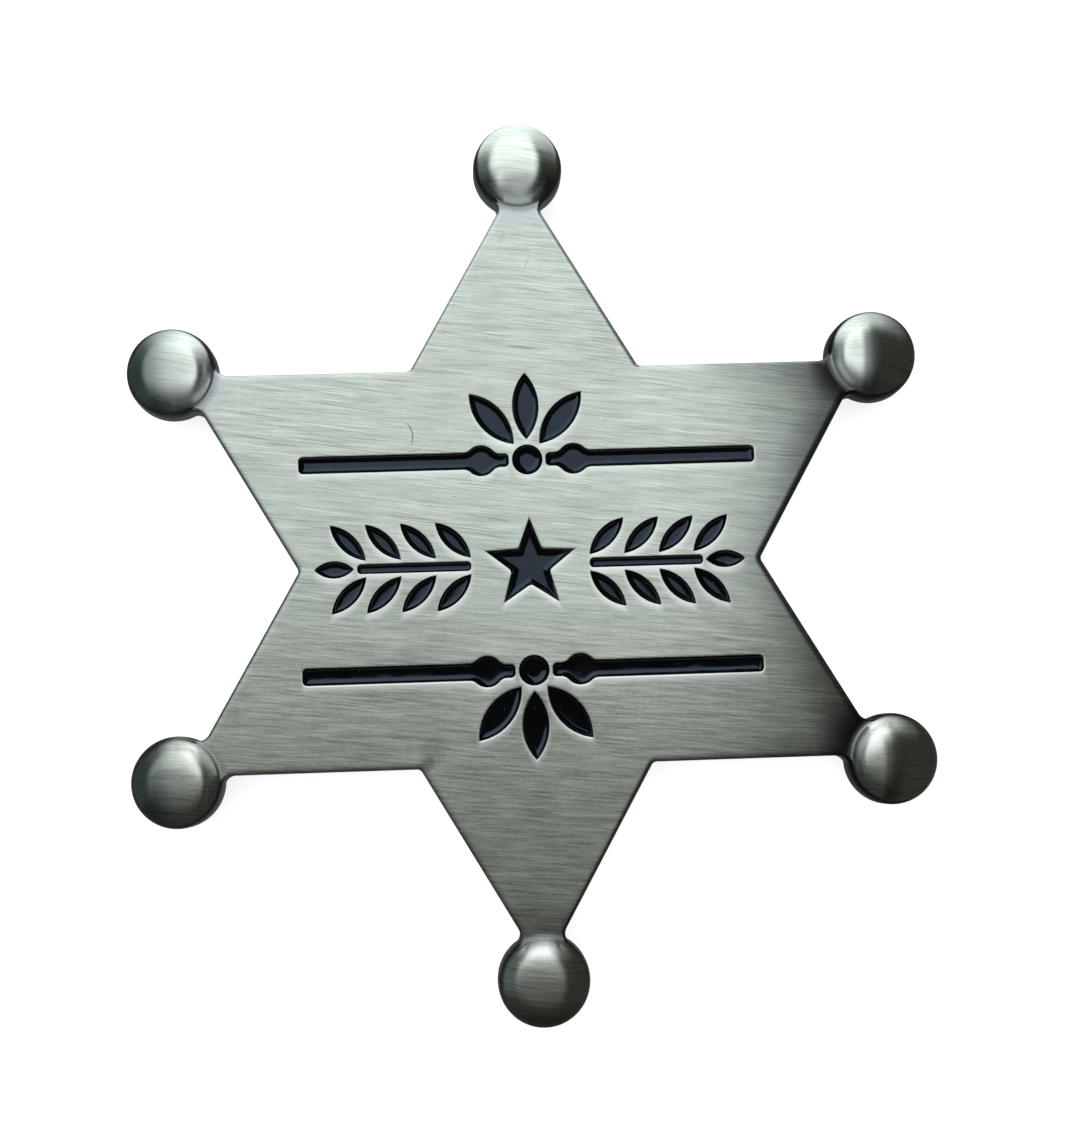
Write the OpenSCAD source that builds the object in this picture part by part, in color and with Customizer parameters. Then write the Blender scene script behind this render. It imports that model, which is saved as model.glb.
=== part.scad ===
// Six-pointed star badge: a cast plate with a ball on each point, black
// enamel in its recesses, and a brooch pin on its flat back.
// The badge lies face up: +Y runs to the top point, z = 0 is under the pin.

/* [Star] */
// Height over the top and bottom balls
span = 75; // [66:1:96]
// Thickness of the plate
plate_t = 2.5; // [1.9:0.1:3.5]
// Diameter of the ball on each point
ball_d = 7.5; // [6:0.25:9]
// Height of the straight skirt under a ball's dome
skirt_h = 1.3; // [0.6:0.1:1.8]
// Distance from the star's edges to the lines between the balls' centres
edge_inset = 0.4; // [0.1:0.05:0.6]
// Radius of the fillet between a point's edge and its ball
neck_r = 0.9; // [0.3:0.1:1.4]

/* [Enamel] */
// Depth of the recesses that hold the enamel
recess_d = 0.7; // [0.4:0.05:1]
// How far the enamel lies below the plate's face
enamel_drop = 0.12; // [0.05:0.01:0.25]
// Clearance between the enamel and the wall of its recess
enamel_gap = 0.03; // [0.02:0.01:0.05]

/* [Bars] */
// Distance of each bar from the badge's middle line
bar_y = 8.72; // [7.8:0.02:10]
// Width of a bar's stroke
bar_w = 1.4; // [1:0.05:1.8]
// Length from a bar's outer end to the plate's edge
bar_margin = 5.2; // [3:0.1:8]
// Radius of the corners at a bar's ends
bar_corner = 0.35; // [0.1:0.05:0.45]
// Diameter of the knob near a bar's inner end
knob_d = 2.55; // [2.2:0.05:3]
// Radius of the fillets beside a knob
knob_fillet = 0.9; // [0.2:0.05:1]
// Width of the neck between the knob and the dot
neck_w = 1.1; // [0.95:0.05:1.4]
// Length of the neck, from the knob to the bar's inner end
neck_len = 1; // [0.8:0.05:1.4]

/* [Fan] */
// Diameter of the dot between two bars
dot_d = 2.5; // [2:0.05:3]
// Width of metal between the dot and a bar
dot_web = 0.3; // [0.2:0.05:0.6]
// Length of a fan's leaf
leaf_len = 5.5; // [4:0.1:7]
// Width of a fan's leaf
leaf_w = 2.1; // [1.4:0.05:2.2]
// Width of metal between the dot and a leaf
leaf_web = 0.5; // [0.4:0.05:1]
// Angle between two leaves
fan_angle = 39.5; // [37:0.5:45]

/* [Middle band] */
// Radius of the small star, centre to point
small_star_r = 3.8; // [3:0.1:4.6]
// Radius of the small star's inner corners
small_star_in = 1.6; // [1.2:0.05:2]
// Width of metal between the small star and a spray
spray_web = 1.1; // [0.8:0.1:2]
// Distance from a spray's outer end to the plate's notch
spray_margin = 1.3; // [1.1:0.1:3]
// Width of a spray's stem
stem_w = 0.8; // [0.5:0.05:1]
// Width of metal between a spray's stem and its leaves
sprig_web = 0.3; // [0.25:0.05:0.6]
// Length of a spray's leaf
sprig_len = 4.1; // [3.4:0.1:4.6]
// Width of a spray's leaf
sprig_w = 1.4; // [1:0.05:1.5]
// Length of the leaf at a spray's end
end_leaf_len = 3.2; // [2.6:0.1:4]
// Angle between a spray's leaf and its stem
sprig_angle = 46; // [42:1:50]
// Least distance along the stem between two pairs of leaves
sprig_pitch = 2.5; // [2.5:0.1:3.5]

/* [Brooch pin] */
// Height of the pin under the plate's back
pin_h = 4.6; // [4.2:0.1:6]
// Distance from the end of the pin's strip to the plate's notch
pin_inset = 1; // [0.5:0.1:5]
// Width of the pin's strip
strip_w = 5; // [4:0.1:7]
// Thickness of the pin's strip
strip_t = 0.8; // [0.5:0.1:1.2]
// Diameter of the rounded hinge and catch
barrel_d = 3; // [2.6:0.1:3.4]
// Height cut off under the hinge and catch to make flat feet
foot_cut = 0.2; // [0.1:0.05:0.3]
// Distance from the end of the strip to the hinge's or catch's middle
barrel_inset = 4; // [3:0.1:5]
// Diameter of the wire
wire_d = 1; // [0.8:0.05:1.2]
// Length of wire past the catch, point included
wire_past = 2.4; // [2:0.1:3]
// Length of the wire's tapered point
point_len = 1.6; // [0.8:0.1:1.8]

/* [Hidden] */
$fn = 144;

// A cut starts and ends this far outside what it cuts
over = 1;
// A fillet's arc reaches this far into the circle and the edge that it meets
bite = 0.02;
points = 6;
small_points = 5;
metal = [0.71, 0.74, 0.72];
black = [0.08, 0.08, 0.1];
steel = [0.78, 0.78, 0.8];

// The plate is two crossed triangles, with their corners inside the balls
ball_r = ball_d / 2;
tip_r = span / 2 - ball_r;
half_point = 90 - 360 / points;
corner_r = tip_r - edge_inset / sin(half_point);
notch_r = corner_r / sqrt(3);
back_z = pin_h;
face_z = back_z + plate_t;
floor_z = face_z - recess_d;
enamel_t = recess_d - enamel_drop;

// Places along a bar, from the badge's middle outwards
bar_in = dot_d / 2 + dot_web;
knob_x = bar_in + neck_len + knob_d / 2;
bar_out = notch_r + bar_y / tan(60) - bar_margin;

// A spray's stem and end leaf, and as many pairs of leaves as the stem takes
spray_in = small_star_r + spray_web;
stem_out = notch_r - spray_margin - end_leaf_len - sprig_web;
stem_corner = stem_w * 0.4;
sprig_y = stem_w / 2 + sprig_web;
pair_room = stem_out - spray_in - sprig_y;
pair_count = 1 + floor(pair_room / sprig_pitch);
pair_step = pair_room / max(1, pair_count - 1);

// Names by row, 1 below the middle line, by side, 1 to the left, and by
// place in a fan
rows = ["upper", "lower"];
sides = ["right", "left"];
places = ["left", "middle", "right"];
function dot_name(row) = str("dot_", rows[row]);
function bar_name(row, side) = str("bar_", rows[row], "_", sides[side]);
function leaf_name(row, place) = str("leaf_", rows[row], "_", places[place]);
function stem_name(side) = str("spray_", sides[side], "_stem");
function tip_name(side) = str("spray_", sides[side], "_tip");
function sprig_name(side, row, pair) =
  str("spray_", sides[side], "_", rows[row], "_", pair + 1);

// The pin's hinge and catch, and the wire between them
strip_half = notch_r - pin_inset;
barrel_x = strip_half - barrel_inset;
barrel_z = barrel_d / 2 - foot_cut;

// Where two upright arcs of radius r cross, len apart and w wide
function arc_r(len, w) = (len * len / 4 + w * w / 4) / w;

// Pointed leaf along +Y from its base at the origin, grown by g all round
module leaf_2d(len, w, g) {
  r = arc_r(len, w);
  translate([0, len / 2])
    intersection() {
      translate([r - w / 2, 0]) circle(r = r + g);
      translate([w / 2 - r, 0]) circle(r = r + g);
    }
}

// Strip along +X from x0 to x1 with rounded corners at its far end
module rounded_end_2d(x0, x1, w, corner, g) {
  translate([x0, -w / 2 - g]) square([x1 - x0 - corner, w + 2 * g]);
  translate([x0, corner - w / 2]) square([x1 - x0 + g, w - 2 * corner]);
  for (side = [-1, 1])
    translate([x1 - corner, side * (w / 2 - corner)]) circle(r = corner + g);
}

// Fillet in the corner between a circle at the origin and an edge along
// +X at height edge_y, rooted inside both
module fillet_2d(circle_r, edge_y, fillet_r) {
  centre_y = edge_y + fillet_r - bite;
  centre_x = sqrt(pow(circle_r + fillet_r - bite, 2) - pow(centre_y, 2));
  difference() {
    polygon([[0, 0], [centre_x, edge_y - fillet_r / 2], [centre_x, centre_y]]);
    translate([centre_x, centre_y]) circle(r = fillet_r);
  }
}

// Both fillets beside a knob on a strip of width w, grown by g
module knob_side_2d(w, g) {
  for (side = [0, 1])
    mirror([0, side])
      fillet_2d(knob_d / 2 + g, w / 2 + g, knob_fillet - g);
}

// Right-hand bar about the badge's middle, grown by g
module bar_2d(g) {
  translate([knob_x, 0]) {
    circle(r = knob_d / 2 + g);
    knob_side_2d(bar_w, g);
    mirror([1, 0]) knob_side_2d(neck_w, g);
  }
  rounded_end_2d(knob_x, bar_out, bar_w, bar_corner, g);
  mirror([1, 0])
    rounded_end_2d(-knob_x, -bar_in, neck_w, bar_corner, g);
}

// Leaf of the fan over the dot: left, middle or right
module fan_leaf_2d(place, g) {
  rotate((1 - place) * fan_angle)
    translate([0, dot_d / 2 + leaf_web])
      leaf_2d(leaf_len, leaf_w, g);
}

// Five-pointed star; all its edges are as far from its middle, so that
// growing it by g is a change of scale
module small_star_2d(g) {
  step = 180 / small_points;
  edge = norm([small_star_r - small_star_in * cos(step), small_star_in * sin(step)]);
  edge_dist = small_star_r * small_star_in * sin(step) / edge;
  grown = 1 + g / edge_dist;
  polygon([
    for (i = [0 : 2 * small_points - 1])
      let (r = grown * (i % 2 == 0 ? small_star_r : small_star_in))
        [r * sin(i * step), r * cos(i * step)]
  ]);
}

// Stem of the right-hand spray
module stem_2d(g) {
  stem_mid = (spray_in + stem_out) / 2;
  rounded_end_2d(stem_mid, stem_out, stem_w, stem_corner, g);
  mirror([1, 0]) rounded_end_2d(-stem_mid, -spray_in, stem_w, stem_corner, g);
}

// Leaf past the end of that stem
module tip_leaf_2d(g) {
  translate([stem_out + sprig_web, 0])
    rotate(-90) leaf_2d(end_leaf_len, sprig_w, g);
}

// Leaf beside that stem, in one of its pairs: upper or lower
module sprig_2d(row, pair, g) {
  mirror([0, row])
    translate([spray_in + pair * pair_step, sprig_y])
      rotate(sprig_angle - 90) leaf_2d(sprig_len, sprig_w, g);
}

// The upper row of enamel shapes, which the lower row mirrors
module upper_row_2d(g) {
  translate([0, bar_y]) {
    circle(r = dot_d / 2 + g);
    for (place = [0 : 2]) fan_leaf_2d(place, g);
    for (side = [0, 1]) mirror([side, 0]) bar_2d(g);
  }
}

// The right-hand spray, which the left-hand one mirrors
module spray_2d(g) {
  stem_2d(g);
  tip_leaf_2d(g);
  for (row = [0, 1]) for (pair = [0 : pair_count - 1]) sprig_2d(row, pair, g);
}

// Every recess in the plate's face
module recesses_2d() {
  small_star_2d(0);
  for (row = [0, 1]) mirror([0, row]) upper_row_2d(0);
  for (side = [0, 1]) mirror([side, 0]) spray_2d(0);
}

// Outline of the plate with the fillets that run into the balls
module plate_2d() {
  for (turn = [90, -90]) corner_triangle(turn);
  for (i = [0 : points - 1])
    rotate(i * 360 / points + 90)
      translate([tip_r, 0])
        for (side = [0, 1])
          mirror([0, side])
            rotate(180 - half_point)
              mirror([0, 1]) fillet_2d(ball_r, -edge_inset, neck_r);
}

// Triangle with its corners inside the balls and one towards turn
module corner_triangle(turn) {
  polygon([for (i = [0 : 2]) corner_r * [cos(turn + i * 120), sin(turn + i * 120)]]);
}

// Ball on a point: a round dome on a straight skirt, flat underneath
module ball() {
  rotate_extrude() {
    square([ball_r, skirt_h]);
    translate([0, skirt_h])
      intersection() {
        circle(r = ball_r);
        square([ball_r, ball_r]);
      }
  }
}

// The casting: plate and balls in one, with the recesses cut in its face
module star() {
  color(metal)
    difference() {
      translate([0, 0, back_z]) {
        linear_extrude(height = plate_t) plate_2d();
        for (i = [0 : points - 1])
          rotate(i * 360 / points + 90)
            translate([tip_r, 0, 0]) ball();
      }
      translate([0, 0, floor_z])
        linear_extrude(height = recess_d + over) recesses_2d();
    }
}

// Enamel in a recess: its child is the outline, given on the right-hand
// side, and side 1 is the left-hand one
module enamel(side) {
  color(black)
    translate([0, 0, floor_z])
      linear_extrude(height = enamel_t) mirror([side, 0]) children();
}

// Enamel of the upper or lower row, its child given about the row's dot
module row_enamel(row, side) {
  enamel(side)
    mirror([0, row])
      translate([0, bar_y]) children();
}

// Hinge or catch: a rounded block across the strip with a flat foot
module pin_end() {
  intersection() {
    union() {
      translate([0, 0, barrel_z])
        rotate([90, 0, 0]) cylinder(d = barrel_d, h = strip_w, center = true);
      translate([-barrel_d / 2, -strip_w / 2, barrel_z])
        cube([barrel_d, strip_w, pin_h - strip_t / 2 - barrel_z]);
    }
    translate([-barrel_d, -strip_w, 0]) cube([2 * barrel_d, 2 * strip_w, pin_h]);
  }
}

// The closed brooch pin in one piece: strip, hinge, catch and wire
module brooch_pin() {
  color(steel) {
    translate([0, 0, pin_h - strip_t])
      linear_extrude(height = strip_t) {
        square([2 * strip_half - strip_w, strip_w], center = true);
        for (side = [-1, 1])
          translate([side * (strip_half - strip_w / 2), 0]) circle(d = strip_w);
      }
    for (side = [-1, 1]) translate([side * barrel_x, 0, 0]) pin_end();
    translate([-barrel_x - barrel_d / 2 - wire_past + point_len, 0, barrel_z])
      rotate([0, 90, 0]) {
        cylinder(d = wire_d, h = 2 * barrel_x + barrel_d / 2 + wire_past - point_len);
        rotate([180, 0, 0]) cylinder(d1 = wire_d, d2 = wire_d / 5, h = point_len);
      }
  }
}

star();
brooch_pin();
enamel(0) small_star_2d(-enamel_gap);  // small_star
for (row = [0, 1]) {
  row_enamel(row, 0) circle(r = dot_d / 2 - enamel_gap);
  for (side = [0, 1])
    row_enamel(row, side) bar_2d(-enamel_gap);
  for (place = [0 : 2])
    row_enamel(row, 0) fan_leaf_2d(place, -enamel_gap);
}
for (side = [0, 1]) {
  enamel(side) stem_2d(-enamel_gap);
  enamel(side) tip_leaf_2d(-enamel_gap);
  for (row = [0, 1])
    for (pair = [0 : pair_count - 1])
      enamel(side) sprig_2d(row, pair, -enamel_gap);
}
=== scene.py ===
from functools import partial
from math import acos, asin, atan2, cos, pi, radians, sin, sqrt, tan

import bmesh
import bpy
from mathutils import Matrix, Vector


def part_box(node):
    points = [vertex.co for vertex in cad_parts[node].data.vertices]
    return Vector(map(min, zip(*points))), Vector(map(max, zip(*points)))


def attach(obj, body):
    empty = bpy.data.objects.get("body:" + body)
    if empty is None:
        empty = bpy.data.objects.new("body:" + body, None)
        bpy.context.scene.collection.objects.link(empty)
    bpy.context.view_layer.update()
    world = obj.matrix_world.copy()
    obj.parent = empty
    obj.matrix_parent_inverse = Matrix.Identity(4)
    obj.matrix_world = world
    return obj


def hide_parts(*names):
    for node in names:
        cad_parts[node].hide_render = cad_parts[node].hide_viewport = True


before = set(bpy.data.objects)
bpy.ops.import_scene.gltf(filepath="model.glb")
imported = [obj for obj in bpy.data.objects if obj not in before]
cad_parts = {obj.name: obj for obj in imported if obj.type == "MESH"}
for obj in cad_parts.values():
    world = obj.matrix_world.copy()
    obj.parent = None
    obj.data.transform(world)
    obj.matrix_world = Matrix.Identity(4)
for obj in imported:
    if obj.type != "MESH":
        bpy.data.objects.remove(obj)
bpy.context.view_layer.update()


# The casting: a flat star with a ball on each point, cast in one piece of
# zinc alloy, plated grey, blackened and brushed across the face. The wheel
# rolled its edges over and left the black in corners and beside the balls.
# Its material paints more shade beside the balls, on their sides and along
# the right-hand edges, and paints highlights on the recesses' lower lips
# and the balls' inner flanks.
MM = 0.001
# Sizes are in millimetres. Those that fit the enamel follow its solids.
back_z, dome_z = (corner.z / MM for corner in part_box("star"))
half_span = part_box("star")[1].y / MM
floor_z, enamel_z = (corner.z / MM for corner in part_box("dot_upper"))
dot_r = (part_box("dot_upper")[1].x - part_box("dot_upper")[0].x) / 2 / MM
enamel_gap = 0.03
ball_r = 3.75
skirt_z = dome_z - ball_r
tip_r = half_span - ball_r
edge_inset = 0.4
notch_r = (tip_r - 2 * edge_inset) / sqrt(3)
plate_t = 2.5
face_z = back_z + plate_t
neck_r = 0.9
neck_bite = 0.05
corner_round = 1.2
notch_round = 0.45
back_round = 0.15
back_step = 0.02
crisp_angle = radians(32)
roll_r = 0.5
shoulder_r = 1.0
shoulder_slope = radians(15)
flat_ring = 0.02
cove_r = 0.8
cove_sink = 0.02
cove_from_edge = 0.25
cove_bite = 0.3
cove_root = 0.4
cutter_below = 0.3
cutter_h = 2
round_steps = 120
dome_steps = 28
corner_steps = 6
weld = 0.001
rim_slope = radians(25)
rim_spread = 0.7

bar_y = (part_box("dot_upper")[0].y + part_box("dot_upper")[1].y) / 2 / MM
bar_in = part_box("bar_upper_right")[0].x / MM - enamel_gap
bar_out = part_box("bar_upper_right")[1].x / MM + enamel_gap
bar_w = 1.4
bar_corner = 0.35
knob_r = 1.275
knob_x = bar_in + 1 + knob_r
knob_fillet = 0.9
knob_steps = 20
neck_w = 1.1
leaf_len = 5.5
leaf_w = 2.1
leaf_web = 0.5
leaf_steps = 26
fan_angle = radians(39.5)
small_star_r = 3.8
small_star_in = 1.6
small_star_round = 0.12
stem_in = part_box("spray_right_stem")[0].x / MM - enamel_gap
stem_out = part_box("spray_right_stem")[1].x / MM + enamel_gap
stem_w = 0.8
stem_round = 0.4 * stem_w
sprig_web = 0.3
sprig_len = 4.1
sprig_w = 1.4
end_leaf_len = 3.2
sprig_angle = radians(46)
pair_count = 4
dot_rim, bar_rim, leaf_rim, small_star_rim, spray_rim = 0.07, 0.17, 0.24, 0.22, 0.1


def swing(bm, start, centre, angle, steps):
    """Arc from a vertex about a centre; gives the arc's last vertex."""
    turned = bmesh.ops.spin(bm, geom=[start], cent=(*centre, 0), axis=(0, 0, 1), dvec=(0, 0, 0),
                            angle=angle, steps=steps, use_duplicate=False)
    return next(v for v in turned["geom_last"] if isinstance(v, bmesh.types.BMVert))


def run(bm, start, x, y):
    """Straight edge from a vertex to a point; gives the vertex there."""
    end = bm.verts.new((x, y, 0))
    bm.edges.new((start, end))
    return end


def face_up(bm):
    """Turns an outline's one face upwards."""
    bm.normal_update()
    bm.faces.ensure_lookup_table()
    if bm.faces[0].normal.z < 0:
        bmesh.ops.reverse_faces(bm, faces=bm.faces)


def close_outline(bm, mirrored):
    """Mirrors half an outline and fills the whole with one upward face."""
    bmesh.ops.mirror(bm, geom=bm.verts[:] + bm.edges[:], axis=mirrored, merge_dist=weld)
    bmesh.ops.remove_doubles(bm, verts=bm.verts, dist=weld)
    bmesh.ops.contextual_create(bm, geom=bm.edges[:])
    face_up(bm)


def leaf_outline(bm, length, width, grow):
    """Pointed leaf along +Y from the origin, between two arcs."""
    arc_r = (length ** 2 + width ** 2) / (4 * width)
    centre_x = width / 2 - arc_r
    reach = sqrt((arc_r + grow) ** 2 - centre_x ** 2)
    half_turn = acos(-centre_x / (arc_r + grow))
    start = bm.verts.new((0, length / 2 - reach, 0))
    swing(bm, start, (centre_x, length / 2), 2 * half_turn, leaf_steps)
    close_outline(bm, "X")


def bar_outline(bm, grow):
    """Right-hand bar about the row's dot: neck, knob and long stroke."""
    fillet = knob_fillet - grow
    corner = max(bar_corner + grow, 0.01)
    radius = knob_r + grow
    start = bm.verts.new((bar_in - grow, 0, 0))
    at = run(bm, start, bar_in - grow, neck_w / 2 + grow - corner)
    at = swing(bm, at, (bar_in - grow + corner, neck_w / 2 + grow - corner), -pi / 2, corner_steps)
    for width, side in ((neck_w, -1), (bar_w, 1)):
        centre_y = width / 2 + grow + fillet
        centre_x = side * sqrt((radius + fillet) ** 2 - centre_y ** 2)
        lean = asin(centre_y / (radius + fillet))
        if side < 0:
            at = run(bm, at, knob_x + centre_x, width / 2 + grow)
            at = swing(bm, at, (knob_x + centre_x, centre_y), pi / 2 - lean, corner_steps)
            knob_from = pi - lean
        else:
            at = swing(bm, at, (knob_x, 0), lean - knob_from, knob_steps)
            at = swing(bm, at, (knob_x + centre_x, centre_y), pi / 2 - lean, corner_steps)
    at = run(bm, at, bar_out + grow - corner, bar_w / 2 + grow)
    at = swing(bm, at, (bar_out + grow - corner, bar_w / 2 + grow - corner), -pi / 2, corner_steps)
    run(bm, at, bar_out + grow, 0)
    close_outline(bm, "Y")


def dot_outline(bm, grow):
    """Round dot between two bars."""
    bmesh.ops.create_circle(bm, cap_ends=True, segments=48, radius=dot_r + enamel_gap + grow)


def small_star_outline(bm, grow):
    """Five-pointed star; growing it by an edge's offset is a change of scale."""
    step = pi / 5
    edge = sqrt((small_star_r - small_star_in * cos(step)) ** 2 + (small_star_in * sin(step)) ** 2)
    scale = 1 + grow * edge / (small_star_r * small_star_in * sin(step))
    bmesh.ops.create_circle(bm, cap_ends=True, segments=10, radius=small_star_r * scale)
    to_right = Vector((1, 0))
    inner = [v for v in bm.verts if round((pi / 2 - v.co.to_2d().angle_signed(to_right)) / step) % 2]
    bmesh.ops.scale(bm, verts=inner, vec=[small_star_in / small_star_r] * 3)
    bmesh.ops.bevel(bm, geom=bm.verts[:], offset=small_star_round, affect="VERTICES", segments=3,
                    profile=0.5, material=-1, clamp_overlap=True)


def stem_outline(bm, grow):
    """Stem of the right-hand spray, round at both ends."""
    corner = max(stem_round + grow, 0.01)
    bmesh.ops.create_grid(bm, x_segments=1, y_segments=1, size=0.5)
    bmesh.ops.scale(bm, verts=bm.verts, vec=(stem_out - stem_in + 2 * grow, stem_w + 2 * grow, 1))
    bmesh.ops.translate(bm, verts=bm.verts, vec=((stem_in + stem_out) / 2, 0, 0))
    bmesh.ops.bevel(bm, geom=bm.verts[:], offset=corner, affect="VERTICES", segments=corner_steps,
                    profile=0.5, material=-1, clamp_overlap=True)


def turn_z(angle):
    return Matrix.Rotation(angle, 4, "Z")


def slide(x, y):
    return Matrix.Translation((x, y, 0))


# Every recess by its node's name: its outline as a function of how far it
# is grown, where the outline lies on the face, and how wide its rim is
mirror_x = Matrix.Scale(-1, 4, (1, 0, 0))
mirror_y = Matrix.Scale(-1, 4, (0, 1, 0))
recesses = {"small_star": (small_star_outline, Matrix.Identity(4), small_star_rim)}
leaf_foot = dot_r + enamel_gap + leaf_web
for row, flip in (("upper", Matrix.Identity(4)), ("lower", mirror_y)):
    about_dot = flip @ slide(0, bar_y)
    recesses[f"dot_{row}"] = (dot_outline, about_dot, dot_rim)
    recesses[f"bar_{row}_right"] = (bar_outline, about_dot, bar_rim)
    recesses[f"bar_{row}_left"] = (bar_outline, about_dot @ mirror_x, bar_rim)
    for place, turn in (("left", fan_angle), ("middle", 0), ("right", -fan_angle)):
        recesses[f"leaf_{row}_{place}"] = (
            lambda bm, grow: leaf_outline(bm, leaf_len, leaf_w, grow),
            about_dot @ turn_z(turn) @ slide(0, leaf_foot), leaf_rim)
sprig_y = stem_w / 2 + sprig_web
pair_step = (stem_out - stem_in - sprig_y) / (pair_count - 1)
for side, flip in (("right", Matrix.Identity(4)), ("left", mirror_x)):
    recesses[f"spray_{side}_stem"] = (stem_outline, flip, spray_rim)
    recesses[f"spray_{side}_tip"] = (
        lambda bm, grow: leaf_outline(bm, end_leaf_len, sprig_w, grow),
        flip @ slide(stem_out + sprig_web, 0) @ turn_z(-pi / 2), spray_rim)
    for row, row_flip in (("upper", Matrix.Identity(4)), ("lower", mirror_y)):
        for pair in range(pair_count):
            recesses[f"spray_{side}_{row}_{pair + 1}"] = (
                lambda bm, grow: leaf_outline(bm, sprig_len, sprig_w, grow),
                flip @ row_flip @ slide(stem_in + pair * pair_step, sprig_y)
                @ turn_z(sprig_angle - pi / 2), spray_rim)


def outline_on_face(name, grow, height):
    """A recess's outline as one upward face at a height over the floor."""
    make, place = recesses[name][:2]
    bm = bmesh.new()
    make(bm, grow)
    bmesh.ops.transform(bm, matrix=Matrix.Translation((0, 0, height)) @ place, verts=bm.verts)
    face_up(bm)
    return bm


def arc_steps(radius, slope_from, slope_to, count):
    """Width and rise of each step along a round between two slopes."""
    slopes = [slope_from + (slope_to - slope_from) * i / count for i in range(count + 1)]
    return [(abs(radius * (sin(a) - sin(b))), radius * (cos(b) - cos(a)))
            for a, b in zip(slopes, slopes[1:])]


def step_in(bm, face, steps):
    """Insets a face again and again; each step is a width and a rise."""
    for width, rise in steps:
        bmesh.ops.inset_region(bm, faces=[face], thickness=width, depth=0, use_even_offset=True,
                               use_boundary=True)
        bmesh.ops.translate(bm, verts=face.verts, vec=(0, 0, rise))


def join(bm, part):
    """Adds one bmesh to another."""
    mesh = bpy.data.meshes.new("part")
    part.to_mesh(mesh)
    part.free()
    bm.from_mesh(mesh)
    bpy.data.meshes.remove(mesh)


def star_outline(bm):
    """Outline of the plate: notches, filleted necks, round corners in the balls."""
    inside = ball_r - neck_bite
    rise = neck_r - edge_inset
    reach = sqrt((inside + neck_r) ** 2 - rise ** 2)
    down_side = Vector((sin(pi / 6), -cos(pi / 6)))
    out_side = Vector((cos(pi / 6), sin(pi / 6)))
    centre = Vector((0, tip_r)) + reach * down_side + rise * out_side
    at = bm.verts.new((notch_r * sin(pi / 6), notch_r * cos(pi / 6), 0))
    at = run(bm, at, *(centre - neck_r * out_side))
    at = swing(bm, at, centre, -acos(rise / (inside + neck_r)), 8)
    corner = Vector((0, tip_r)).lerp(centre, (inside - corner_round) / (inside + neck_r))
    at = swing(bm, at, corner, pi / 2 + atan2(tip_r - centre.y, centre.x), 2 * corner_steps)
    run(bm, at, 0, corner.y + corner_round)
    bmesh.ops.mirror(bm, geom=bm.verts[:] + bm.edges[:], axis="X", merge_dist=weld)
    bmesh.ops.spin(bm, geom=bm.verts[:] + bm.edges[:], cent=(0, 0, 0), axis=(0, 0, 1), dvec=(0, 0, 0),
                   angle=2 * pi, steps=6, use_duplicate=True)
    bmesh.ops.remove_doubles(bm, verts=bm.verts, dist=0.01)
    bmesh.ops.contextual_create(bm, geom=bm.edges[:])
    face_up(bm)
    notches = [v for v in bm.verts if abs(v.co.length - notch_r) < 0.01]
    bmesh.ops.bevel(bm, geom=notches, offset=notch_round * tan(pi / 6), affect="VERTICES", segments=5,
                    profile=0.5, material=-1, clamp_overlap=True)


def open_at(bm, height):
    """Open edges of a mesh that lie at a height."""
    return [e for e in bm.edges if e.is_boundary and all(abs(v.co.z - height) < weld for v in e.verts)]


def build_plate():
    """The plate with rolled edges and a recess for each piece of enamel."""
    bm = bmesh.new()
    star_outline(bm)
    edge_steps = (arc_steps(roll_r, pi / 2, shoulder_slope, 7)
                  + arc_steps(shoulder_r, shoulder_slope, 0, 3) + [(flat_ring, 0)])
    wall_top = face_z - sum(rise for width, rise in edge_steps)
    bmesh.ops.translate(bm, verts=bm.verts, vec=(0, 0, wall_top))
    bm.faces.ensure_lookup_table()
    top = bm.faces[0]
    step_in(bm, top, edge_steps)
    bmesh.ops.delete(bm, geom=[top], context="FACES_ONLY")
    wall = bmesh.ops.extrude_edge_only(bm, edges=open_at(bm, wall_top))["geom"]
    low = [v for v in wall if isinstance(v, bmesh.types.BMVert)]
    bmesh.ops.translate(bm, verts=low, vec=(0, 0, back_z + back_step + back_round - wall_top))
    low_edges = [e for e in wall if isinstance(e, bmesh.types.BMEdge)]
    back = bmesh.ops.contextual_create(bm, geom=low_edges)["faces"][0]
    step_in(bm, back, [(width, -rise) for width, rise in arc_steps(back_round, pi / 2, 0, 3)])
    for name, (make, place, rim_w) in recesses.items():
        recess = outline_on_face(name, rim_w + flat_ring, face_z)
        recess.faces.ensure_lookup_table()
        rim_steps = (arc_steps(rim_w * rim_spread / sin(rim_slope), 0, rim_slope, 3)
                     + arc_steps(rim_w * (1 - rim_spread) / (1 - sin(rim_slope)), rim_slope, pi / 2, 4))
        fall = face_z - floor_z + sum(rise for width, rise in rim_steps)
        step_in(recess, recess.faces[0], [(flat_ring, 0)] + rim_steps + [(0.01, -fall)])
        join(bm, recess)
    bmesh.ops.triangle_fill(bm, use_beauty=True, use_dissolve=False, edges=open_at(bm, face_z),
                            normal=(0, 0, 1))
    bmesh.ops.recalc_face_normals(bm, faces=bm.faces)
    return bm


def spin_at_points(bm):
    """Spins a profile into a round body and puts one on each point."""
    bmesh.ops.spin(bm, geom=bm.verts[:] + bm.edges[:], cent=(0, 0, 0), axis=(0, 0, 1), dvec=(0, 0, 0),
                   angle=2 * pi, steps=round_steps, use_merge=True, use_duplicate=False)
    bmesh.ops.remove_doubles(bm, verts=bm.verts, dist=weld / 2)
    bmesh.ops.translate(bm, verts=bm.verts, vec=(0, tip_r, 0))
    bmesh.ops.spin(bm, geom=bm.verts[:] + bm.edges[:] + bm.faces[:], cent=(0, 0, 0), axis=(0, 0, 1),
                   dvec=(0, 0, 0), angle=2 * pi * 5 / 6, steps=5, use_duplicate=True)
    bmesh.ops.recalc_face_normals(bm, faces=bm.faces)
    return bm


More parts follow.
